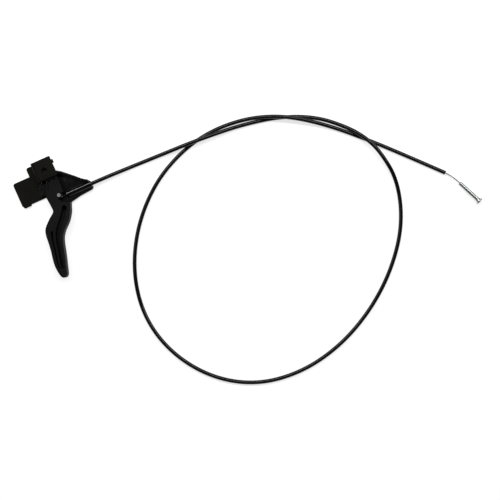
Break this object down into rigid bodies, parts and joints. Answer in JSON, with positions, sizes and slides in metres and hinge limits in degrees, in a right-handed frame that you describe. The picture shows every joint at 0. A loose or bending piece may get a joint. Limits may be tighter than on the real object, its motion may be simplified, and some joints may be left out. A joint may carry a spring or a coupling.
{
  "type": "hood release cable",
  "caption": "Hood release cable: a pull lever in a folded bracket with a moulded cable housing, a long black sheath in a loop, and a bare wire with a crimped end fitting.",
  "frame": {"origin": "foot of the lever's pivot axis on the flat underside that mounts on the body panel", "axes": "+X is the way the cable leaves the housing, the grip points towards -Y, +Z stands up from the mounting face"},
  "size_m": [0.5277, 0.3724, 0.02],
  "materials": {
    "bracket_coat": "matte coated sheet steel",
    "housing_moulding": "glossy black moulding",
    "rivet_coat": "coated steel rivets",
    "lever_moulding": "satin black moulding",
    "zinc_casting": "bright cast zinc",
    "steel_strand": "twisted galvanised strand",
    "ferrule_steel": "plated steel cap",
    "sheath_plastic": "glossy black extruded jacket",
    "winding_steel": "wound flat steel wire",
    "liner_plastic": "slippery white liner"
  },
  "bodies": {
    "bracket": {"mounting_bracket": "bracket_coat", "cable_housing": "housing_moulding", "housing_rivets": "rivet_coat", "sheath_ferrule": "ferrule_steel", "cable_jacket": "sheath_plastic", "armour_winding": "winding_steel", "liner_tube": "liner_plastic", "inner_wire": "steel_strand"},
    "lever": {"release_lever": "lever_moulding"},
    "nipple": {"cable_nipple": "zinc_casting", "wire_lead": "steel_strand"},
    "fitting": {"end_fitting": "zinc_casting", "wire_tail": "steel_strand"}
  },
  "joints": [
    {"name": "lever_pivot", "type": "hinge", "parent": "bracket", "child": "lever", "pos_m": [0, 0, 0], "axis": [0, 0, 1], "range_deg": [-25, 0]},
    {"name": "nipple_turn", "type": "hinge", "parent": "lever", "child": "nipple", "pos_m": [0.0036, -0.0341, 0.0105], "axis": [0, 0, 1], "range_deg": [0, 23.5]},
    {"name": "wire_slide", "type": "slide", "parent": "bracket", "child": "fitting", "axis": [0.5186, -0.855, 0], "range_m": [-0.0149, 0], "deforming": ["wire_tail"]}
  ],
  "couplings": [
    {"joint": "nipple_turn", "follows": "lever_pivot", "ratio": -0.93},
    {"joint": "wire_slide", "follows": "lever_pivot", "m_per_rad": 0.0339}
  ]
}
